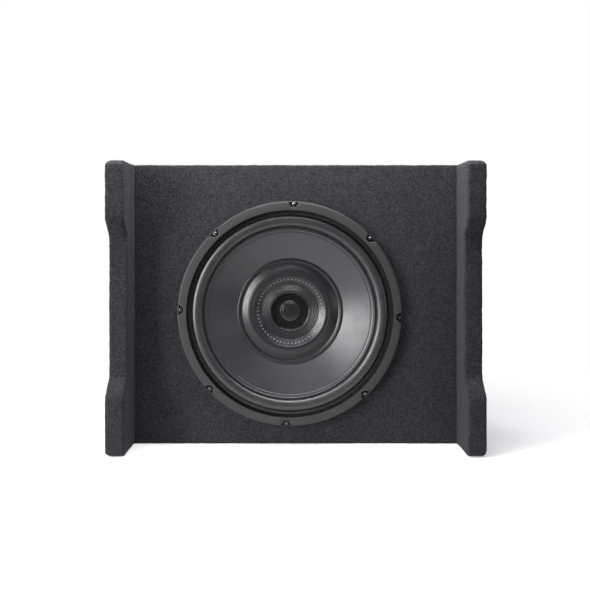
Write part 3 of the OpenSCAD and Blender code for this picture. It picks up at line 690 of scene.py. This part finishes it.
def wrap_carpet():
    """The carpet round the box's four long walls, cut out for the woofer and the amplifier."""
    path, columns = wrap_levels(), wrap_columns()
    verts = []
    for (y, z), (ny, nz) in zip(path, loop_normals(path)):
        verts += [(x, y - ny * dip, z - nz * dip) for x, dip in columns]
    rows, width = len(path), len(columns)
    faces = []
    for i in range(rows):
        for j in range(width - 1):
            a, b = i * width + j, (i + 1) % rows * width + j
            quad = (a, a + 1, b + 1, b)
            if not is_cut(sum((Vector(verts[k]) for k in quad), Vector()) / 4):
                faces.append(quad)
    for k in border(faces):
        verts[k] = fit_cut(verts[k])
    piece = new_piece("carpet_box", verts, faces, CARPET, "cabinet", ["carpet_wrap"])
    clean(piece, outward=Vector((0, 1, 0)))
    lay_felt(piece)


side_carpet("carpet_side_right", 1, "carpet_right")
side_carpet("carpet_side_left", -1, "carpet_left")
wrap_carpet()


# ---- Woofer ----

def band_material(piece, material, inner, outer):
    """The faces of a turned piece between two radii, in mm, get a second material."""
    piece.data.materials.append(material)
    for face in piece.data.polygons:
        if inner < from_woofer(face.center) / MM < outer:
            face.material_index = 1


def gasket():
    """The trim ring: rounded edges, with an open notch round each screw."""
    bottom, rim_half = 1.1, 2.95            # a notch's half angles at its bottom and at the rim
    offsets = [*np.linspace(bottom, rim_half, 10), rim_half + 0.12]
    pitch = 360 / NOTCHES
    angles = set(np.linspace(0, 360, 720, endpoint=False))
    for i in range(NOTCHES):
        centre = (i * pitch - NOTCH_TURN) % 360
        angles |= {(centre + s * a) % 360 for s in (-1, 1) for a in offsets}
    verts = []
    for angle in sorted(angles):
        off = (angle + NOTCH_TURN + pitch / 2) % pitch - pitch / 2
        t = min(1, max(0, (abs(off) - bottom) / (rim_half - bottom)))
        outer = NOTCH_IN + (GASKET_OUT - NOTCH_IN) * t
        section = fillet([(GASKET_IN, FLANGE_DEP), (GASKET_IN, GASKET_FRONT), (outer, GASKET_FRONT),
                          (outer, FLANGE_DEP)], [0, 0.4, 1.1, 0], closed=True, turn_step=18)
        verts += [woofer_point(r, depth, math.radians(angle)) for r, depth in section]
    faces = ring_faces(0, len(angles), len(verts) // len(angles), closed=True)
    piece = new_piece("woofer_gasket", verts, faces, RUBBER_TRIM, "cabinet",
                      ["trim_gasket"])
    clean(piece)
    # The inner wall gets the near-black rubber: painted shade for the gap between gasket and roll.
    band_material(piece, SHADOW_RUBBER, 0, GASKET_IN + 0.2)


def screw_height(x, y, head_r, head_h):
    """Height of a domed cross-head screw over its seat, at a place on its head."""
    share = min(1, math.hypot(x, y) / head_r)
    dome = head_h * math.sqrt(1 - share ** 2.6)
    arm, reach, sunk = 0.45, 2.0, 1.3        # the cross: half its width, half its span, its depth
    in_cross = min(abs(x), abs(y)) < arm and max(abs(x), abs(y)) < reach
    return dome - (sunk if in_cross else 0)


def screw_point(u, v, depth, turn):
    """A point at the screw that stands at angle turn: u mm outward from its axis, v mm round."""
    across = SCREW_R + u
    return woofer_point(across, depth, turn + v / across)


def driver_screws():
    """Eight domed cross-head screws in the gasket's notches."""
    head_r, head_h, rings, around = 3.4, 2.6, 16, 40
    shank_r, shank_h, sides = 2.1, 20, 12
    verts, faces = [], []
    for i in range(NOTCHES):
        turn = math.radians(i * 360 / NOTCHES - NOTCH_TURN)
        spin = 0.7 * i                       # each screw's cross stands its own way
        head = len(verts)
        for level in range(rings + 1):
            r = head_r * level / rings
            for a in circle(around):
                x, y = r * math.cos(a), r * math.sin(a)
                rise = screw_height(x, y, head_r, head_h)
                u = x * math.cos(spin) - y * math.sin(spin)
                v = x * math.sin(spin) + y * math.cos(spin)
                verts.append(screw_point(u, v, FLANGE_DEP - rise, turn))
        shank = len(verts)
        for depth in (FLANGE_DEP, FLANGE_DEP + shank_h):
            for a in circle(sides):
                verts.append(screw_point(shank_r * math.cos(a), shank_r * math.sin(a), depth, turn))
        faces += ring_faces(head, rings + 1, around) + ring_faces(shank, 2, sides)
        faces.append(tuple(range(shank + sides, shank + 2 * sides)))
        faces.append(tuple(range(head + rings * around, shank)))
    piece = new_piece("woofer_screws", verts, faces, BLACK_OXIDE, "cabinet",
                      ["driver_screws"])
    clean(piece, weld=WELD)


def frame_rim():
    """The rolled edge of the steel frame, which shows as a line round the gasket."""
    middle_r, middle_dep, bead_r = 157.1, -3.3, 0.95
    bead = [(middle_r + bead_r * math.cos(a), middle_dep + bead_r * math.sin(a)) for a in circle(12)]
    turned("woofer_frame_rim", bead, SATIN_STEEL, "cabinet")


def roll(half, height, root):
    """One surface of the half roll, from the outside in."""
    line = []
    for a in np.linspace(0, math.pi, 41):
        drop = (ROOT_OUT - ROOT_IN) * (1 - math.cos(a)) / 2
        line.append((ROLL_R + half * math.cos(a), root - drop - height * math.sin(a)))
    return line


def surround_profile():
    """The half roll: its outer lip on the frame, and its inner lip behind the cone's edge."""
    lip_r, behind = 112.7, CONE_T + 0.05     # where the inner lip ends, and its place on the cone
    front = [(SURROUND_R, -0.5), (SURROUND_R - 0.4, -0.1), (LANDING_R + 0.2, 0), (140, 0)]
    front += roll(ROLL_HALF, ROLL_H, ROOT_OUT)
    front += [(CONE_EDGE_R + 0.2, ROOT_IN)]
    front += [(r, cone_depth(r) + behind) for r in (CONE_EDGE_R - 0.7, lip_r)]
    back = [(lip_r, cone_depth(lip_r) + behind + RUBBER), (CONE_EDGE_R + 0.6, ROOT_IN + RUBBER)]
    back += reversed(roll(ROLL_HALF - RUBBER, ROLL_H - 0.2, ROOT_OUT + RUBBER))
    back += [(SURROUND_R, ROOT_OUT + RUBBER)]
    return front + back


def surround():
    """One rubber ring, from its outer lip on the frame to its inner lip behind the cone's edge."""
    piece = turned("woofer_surround", surround_profile(), SURROUND, None,
                   ["surround"])
    # The flat outer edge gets the near-black rubber: painted shade from the gasket's wall.
    band_material(piece, SHADOW_RUBBER, LANDING_R, SURROUND_R)
    blend_radially(piece)


def blend_radially(piece):
    """Bakes the piece's placement into its points."""
    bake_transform(piece)


def cone_depth(radius):
    """Depth of the cone's front face at a radius."""
    return CONE_EDGE_DEP + (CONE_EDGE_R - radius) * CONE_RISE


def cone():
    """The cone, with two fine grooves pressed in near its edge."""
    neck = 26.2
    front = [(CONE_EDGE_R, CONE_EDGE_DEP + 0.05)]
    radii = [0.4]
    for r in (118.3, 114.8):
        front += [(r + 0.8, cone_depth(r + 0.8)), (r + 0.3, cone_depth(r) + 0.25),
                  (r - 0.3, cone_depth(r) + 0.25), (r - 0.8, cone_depth(r - 0.8))]
        radii += [0.3] * 4
    front += [(r, cone_depth(r)) for r in (100, 84, 60, neck)]
    back = [(neck, cone_depth(neck) + 2.4), (neck + 1.4, cone_depth(neck + 1.4) + CONE_T),
            (CONE_EDGE_R, CONE_EDGE_DEP + CONE_T)]
    profile = fillet(front + back, radii + [0] * 4 + [0.3, 0.5, 0.4], closed=True, turn_step=20)
    turned("woofer_cone", profile, CONE, "cone_assembly", ["cone"])


def cap_profile():
    """The dust cap: a glued flange, a raised ring, a sloped band, a ribbed bowl and a well."""
    front = [(r, cone_depth(r) - lift)       # the flange and the groove inside it, over the cone
             for r, lift in ((CAP_R, 0.9), (72.3, 0.9), (71.6, 0.4), (70.2, 0.3))]
    front += [(69.4, 26.6), (61.2, 22.0), (57.6, 21.25), (56.4, 21.2), (55.9, 21.9), (55.3, 21.9),
              (54.8, 21.3), (51.4, 21.5), SLOPE_OUT, SLOPE_IN]
    radii = [0.3, 0.4, 0.2, 0.3, 0.5, 14, 8, 0.5, 0.2, 0.2, 0.5, 0.7, 0.6, 0.5]
    ribs, rib_from, rib_to = 5, 41.2, 29.8
    pitch = (rib_from - rib_to) / ribs
    for i in range(ribs):
        r = rib_from - i * pitch
        base = 27.8 - 0.9 * i / ribs         # the ribs come forward a little towards the well
        front += [(r, base + 0.1), (r - pitch * 0.45, base - 0.75)]
    front += [(29.7, 27.0), (29.2, 26.1), (28.5, 25.9), (27.6, 26.5), (27.0, 31.2), (25, 31.5), (0, 31.5)]
    radii += [0.25] * (2 * ribs) + [0.2, 0.3, 0.5, 0.4, 0.5, 0.3, 0]
    front = fillet(front, radii, turn_step=15)
    back = [(0, 32.6), (28.2, 32.6), (28.8, 29.2), (42.6, 29.2), (51.2, 23.9), (54, 22.9), (59.5, 23.4),
            (66.5, 26.3)]
    back += [(r, cone_depth(r) - 0.05) for r in (69.6, CAP_R)]
    return front + back


def dust_cap():
    """The dust cap, glossy in its well, which is darker partly as a darker plastic and partly as painted
    shade of the recess.
    """
    piece = turned("woofer_dust_cap", cap_profile(), CAP, "cone_assembly", ["dust_cap"])
    band_material(piece, WELL, 0, WELL_R)


def cap_pips():
    """A ring of plain round pips on the sloped band."""
    count, sides = 54, 12
    levels = ((-0.1, 1.15), (0.16, 1.15), (0.30, 0.85))      # a pip's rings as (height, radius)
    slope_in, slope_out = Vector(SLOPE_IN), Vector(SLOPE_OUT)
    along = (slope_out - slope_in).normalized()
    up = Vector((along.y, -along.x))
    middle = slope_in.lerp(slope_out, 0.56)
    verts, faces = [], []
    for angle in circle(count):
        start = len(verts)
        for height, radius in levels:
            for a in circle(sides):
                p = middle + along * (radius * math.cos(a)) + up * height
                verts.append(woofer_point(p.x, p.y, angle + radius * math.sin(a) / p.x))
        faces += ring_faces(start, len(levels), sides)
        faces.append(tuple(range(len(verts) - sides, len(verts))))
        faces.append(tuple(reversed(range(start, start + sides))))
    piece = new_piece("woofer_cap_pips", verts, faces, PIPS, "cone_assembly")
    clean(piece)


def cap_disc():
    """The plain domed disc in the well, with one fine step near its edge."""
    dome = [(0, 28.9), (5, 28.95), (9.6, 29.2), (11.0, 29.35), (11.4, 29.65), (12.2, 29.65),
            (12.6, 29.45), (14.2, 29.8), (15, 30.5), (15, 31.45), (0, 31.45)]
    radii = [0, 10, 8, 0.3, 0.2, 0.2, 0.3, 0.8, 0.5, 0.2, 0]
    turned("woofer_cap_disc", fillet(dome, radii, turn_step=15), DISC, "cone_assembly",
           ["cap_disc"], spin=128)


def spider():
    """The corrugated cloth disc behind the cone."""
    inner, outer = 29, 61                    # the corrugated band, between two flat lips
    middle, waves, height, cloth = 59.3, 4, 2.2, 0.65
    wave = [(25.8, middle)]
    for s in np.linspace(0, 1, 65):
        swell = height * math.sin(2 * math.pi * waves * s) * math.sin(math.pi * s)
        wave.append((inner + (outer - inner) * s, middle - swell))
    wave.append((78.4, middle))
    profile = wave + [(r, depth + cloth) for r, depth in reversed(wave)]
    piece = turned("woofer_spider", profile, SPIDER, None, ["spider"], spin=144)
    blend_radially(piece)


def lead_middle(share):
    """The slack path of a lead from its post (0) to the cone (1), as (radius, depth)."""
    sag = 6
    return Vector(LEAD_POST).lerp(Vector(LEAD_CONE), share) + Vector((0, sag * 4 * share * (1 - share)))


def tinsel_leads():
    """Two leads of three twisted strands, from the posts to the cone."""
    steps, sides, strands, turns = 90, 7, 3, 11
    offset, strand_r = 0.42, 0.43            # a strand's place off the lead's middle, and its radius
    verts, faces, shares = [], [], []
    for x, strand in product((-7, 7), range(strands)):
        start = len(verts)
        for share in np.linspace(0, 1, steps + 1):
            middle = lead_middle(share)
            along = lead_middle(min(1, share + 0.01)) - lead_middle(max(0, share - 0.01))
            along.normalize()
            twist = 2 * math.pi * (turns * share + strand / strands)
            for a in circle(sides):
                u = offset * math.cos(twist) + strand_r * math.cos(a)
                v = offset * math.sin(twist) + strand_r * math.sin(a)
                radius, depth = middle + Vector((along.y, -along.x)) * v
                verts.append((WOOFER.x + (x + u) * MM, BAFFLE + depth * MM, WOOFER.z + radius * MM))
                shares.append(share)
        faces += ring_faces(start, steps + 1, sides)
        faces.append(tuple(reversed(range(start, start + sides))))
        faces.append(tuple(range(len(verts) - sides, len(verts))))
    piece = new_piece("woofer_tinsel_leads", verts, faces, BRAID, None, ["tinsel_leads"])
    clean(piece)
    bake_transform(piece)


gasket()
driver_screws()
frame_rim()
surround()
cone()
dust_cap()
cap_pips()
cap_disc()
spider()
tinsel_leads()

# ---- Printing on the amplifier's panel ----

FLOOR_Z = PANEL_HIGH.z - 14 * MM         # floor of the panel's bays
KNOBS = {"gain": -130, "crossover": -102, "boost": -74}      # their x, in mm
SWITCHES = (6, 30)
CONTROL_Y = AMP_Y + 20 * MM              # the line that the controls stand on
PRINT_T = 0.12 * MM


def slab(verts, faces, centre, size, turn=0.0):
    """Adds a thin block, centred at centre and turned about Z, to verts and faces."""
    start = len(verts)
    spin = Matrix.Rotation(turn, 3, "Z")
    for dz in (-0.5, 0.5):
        for dx, dy in ((-0.5, -0.5), (0.5, -0.5), (0.5, 0.5), (-0.5, 0.5)):
            offset = spin @ Vector((dx * size[0], dy * size[1], dz * size[2]))
            verts.append(Vector(centre) + offset)
    for f in ((3, 2, 1, 0), (4, 5, 6, 7), (0, 1, 5, 4), (1, 2, 6, 5), (2, 3, 7, 6), (3, 0, 4, 7)):
        faces.append(tuple(start + i for i in f))


def panel_marks():
    """Printed ticks round each knob and beside each switch, with no lettering."""
    tick_r = 8.4
    verts, faces = [], []
    for x in KNOBS.values():
        for tick in range(11):
            turn = math.radians(-150 + 30 * tick)
            long = 2.2 if tick % 5 == 0 else 1.3
            reach = (tick_r + long / 2) * MM
            centre = (x * MM - reach * math.sin(turn), CONTROL_Y + reach * math.cos(turn), FLOOR_Z)
            slab(verts, faces, centre, (0.5 * MM, long * MM, PRINT_T), turn)
    for x in SWITCHES:
        for side in (-1, 1):
            slab(verts, faces, ((x + side * 3.6) * MM, CONTROL_Y + 4.6 * MM, FLOOR_Z),
                 (0.6 * MM, 2.0 * MM, PRINT_T))
        slab(verts, faces, (x * MM, CONTROL_Y - 4.0 * MM, FLOOR_Z), (9 * MM, 0.4 * MM, PRINT_T))
    new_piece("panel_marks", verts, faces, PRINT, "cabinet", smooth=False)


def knob_pointer(body, x):
    """The white line on a knob's ridge."""
    verts, faces = [], []
    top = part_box(body + "_knob")[1].z
    slab(verts, faces, (x * MM, CONTROL_Y + 3.0 * MM, top), (0.8 * MM, 4.4 * MM, 0.1 * MM))
    new_piece(body + "_pointer", verts, faces, PRINT, body, smooth=False)


panel_marks()
for knob_body, knob_x in KNOBS.items():
    knob_pointer(knob_body, knob_x)

# ---- CAD nodes that keep their shape ----

WIRE_SHEATHS = two_tone("wire_sheaths", (0.015, 0.015, 0.015), (0.45, 0.02, 0.02), "X", WOOFER.x)
RCA_RINGS = two_tone("rca_insulators", (0.80, 0.80, 0.78), (0.55, 0.01, 0.01), "X", RCA_MIDDLE)
LED_LENSES = two_tone("led_lenses", (0.50, 0.02, 0.01), (0.03, 0.10, 0.60), "Y", LED_MIDDLE, 0.12)
NODE_MATERIALS = (
    (FIBREBOARD, "side_board_left side_board_right top_board bottom_board back_board baffle_board"),
    (BASKET, "basket"), (FORMER, "coil_former"), (COPPER, "voice_coil toroid"), (FERRITE, "magnet"),
    (BARE_STEEL, "front_plate yoke"), (ZINC, "motor_screws chassis_screws power_screws"),
    (FOAM, "driver_seal amp_seal wire_grommet"), (PHENOLIC, "terminal_board"),
    (BRASS, "driver_posts"), (WIRE_SHEATHS, "speaker_wires"), (GALVANISED, "amp_chassis"),
    (PANEL, "amp_panel"), (BLACK_OXIDE, "amp_screws"), (SOLDER_MASK, "circuit_board"),
    (SLEEVE, "capacitors"), (ALUMINIUM, "heat_bar"), (GOLD, "socket_pins rca_jacks"),
    (RCA_RINGS, "rca_rings"), (NYLON, "level_socket"), (FUSE, "fuse_1 fuse_2"),
    (LED_LENSES, "status_leds"), (KNOB_PLASTIC, "gain_knob crossover_knob boost_knob"),
    (GREY_PLASTIC, "gain_pot crossover_pot boost_pot switch_bodies"),
    (BLACK_PLASTIC, "phase_lever input_lever transistors rca_base remote_jack power_block fuse_holders"),
)
for material, names in NODE_MATERIALS:
    for name in names.split():
        slots = frame["nodes"][name].data.materials
        slots.clear()
        slots.append(material)

# Rounding of the edges of moulded and cast parts, in mm
EDGE_WIDTHS = (
    (0.1, "amp_screws"), (0.2, "rca_jacks rca_rings power_screws"),
    (0.25, "gain_knob crossover_knob boost_knob level_socket"),
    (0.3, "phase_lever input_lever power_block fuse_1 fuse_2 amp_chassis transistors rca_base"),
    (0.3, "gain_pot crossover_pot boost_pot switch_bodies"), (0.35, "remote_jack fuse_holders"),
    (0.4, "heat_bar"), (0.45, "amp_panel"), (0.5, "terminal_board"),
)
for width, names in EDGE_WIDTHS:
    for name in names.split():
        bevel = frame["nodes"][name].modifiers.new("edges", "BEVEL")
        bevel.width = width * MM
        bevel.segments = 2
        bevel.limit_method = "ANGLE"
        bevel.angle_limit = math.radians(40)

# ---- Studio ----

def floor():
    """A pale floor that thins out away from the part, so that it meets the white behind it."""
    half, solid_to, gone_at = 1.5, 0.26, 0.62
    mesh = bpy.data.meshes.new("floor")
    mesh.from_pydata([(-half, -half, 0), (half, -half, 0), (half, half, 0), (-half, half, 0)], [],
                     [(0, 1, 2, 3)])
    piece = bpy.data.objects.new("floor", mesh)
    bpy.context.scene.collection.objects.link(piece)
    s = Shader("floor_white", 0.9, specular=0.1)
    s.colour(s.mix(s.noise(2, 2), (0.62, 0.62, 0.62), (0.64, 0.64, 0.64)))
    s.set("Emission Color", (1, 1, 1, 1))
    s.set("Emission Strength", 0.25)
    reach = s.tree.nodes.new("ShaderNodeVectorMath")
    reach.operation = "LENGTH"
    s.link(s.place, reach.inputs[0])
    s.link(s.ramp(reach.outputs["Value"], solid_to, gone_at, 1, 0), s.principled.inputs["Alpha"])
    piece.data.materials.append(s.material)


def lamp(name, place, aim, size, power):
    """A soft rectangular lamp at place, facing aim. size is (width, height), all in metres."""
    data = bpy.data.lights.new(name, "AREA")
    data.shape = "RECTANGLE"
    data.size, data.size_y = size
    data.energy = power
    holder = bpy.data.objects.new(name, data)
    bpy.context.scene.collection.objects.link(holder)
    holder.location = place
    holder.rotation_euler = (Vector(aim) - Vector(place)).to_track_quat("-Z", "Y").to_euler()
    holder.visible_camera = False


def world():
    """White to the camera. The light it gives is dimmer, least from the front and the right."""
    made = bpy.data.worlds.new("studio")
    bpy.context.scene.world = made
    made.use_nodes = True
    tree = made.node_tree
    seen = tree.nodes["Background"]
    seen.inputs["Color"].default_value = (1, 1, 1, 1)
    given = tree.nodes.new("ShaderNodeBackground")
    given.inputs["Color"].default_value = (0.95, 0.97, 1.12, 1)
    way = tree.nodes.new("ShaderNodeTexCoord")
    split = tree.nodes.new("ShaderNodeSeparateXYZ")
    tree.links.new(way.outputs["Generated"], split.inputs["Vector"])
    both = tree.nodes.new("ShaderNodeMath")
    both.operation = "MULTIPLY"
    tree.links.new(smooth_step(tree, split.outputs["Y"], -1, -0.2, 0.14, 0.41), both.inputs[0])
    tree.links.new(smooth_step(tree, split.outputs["X"], -1, 1, 1.65, 0.3), both.inputs[1])
    tree.links.new(both.outputs["Value"], given.inputs["Strength"])
    path = tree.nodes.new("ShaderNodeLightPath")
    mix = tree.nodes.new("ShaderNodeMixShader")
    tree.links.new(path.outputs["Is Camera Ray"], mix.inputs[0])
    tree.links.new(given.outputs[0], mix.inputs[1])
    tree.links.new(seen.outputs[0], mix.inputs[2])
    tree.links.new(mix.outputs[0], tree.nodes["World Output"].inputs["Surface"])


def camera():
    """Square to the baffle and above the box's middle, with its view shifted down."""
    distance, eye_height = 0.875, 0.287
    data = bpy.data.cameras.new("camera")
    data.sensor_width = 36
    data.lens = 37.82
    data.shift_x, data.shift_y = 0.0013, -0.0922
    holder = bpy.data.objects.new("camera", data)
    bpy.context.scene.collection.objects.link(holder)
    holder.location = (-2 * MM, BAFFLE - distance, eye_height)
    holder.rotation_euler = (math.radians(90), 0, 0)
    bpy.context.scene.camera = holder


floor()
world()
lamp("key", (-1.12, -0.74, 0.42), (0, -0.04, 0.19), (0.46, 1.0), 32)
lamp("overhead", (0, -0.05, 0.64), (0, -0.05, 0.2), (0.9, 0.2), 6)
lamp("strip", (-0.03, -0.185, 0.64), (-0.03, -0.08, 0.2), (0.6, 0.08), 3.6)
lamp("right_fill", (1.07, -0.72, 0.27), (0, 0, 0.19), (0.3, 0.35), 1.1)
lamp("back", (-0.9, 1.5, 0.9), (0, 0, 0.2), (1.2, 1.0), 22)
camera()
bpy.context.scene.view_settings.view_transform = "Standard"
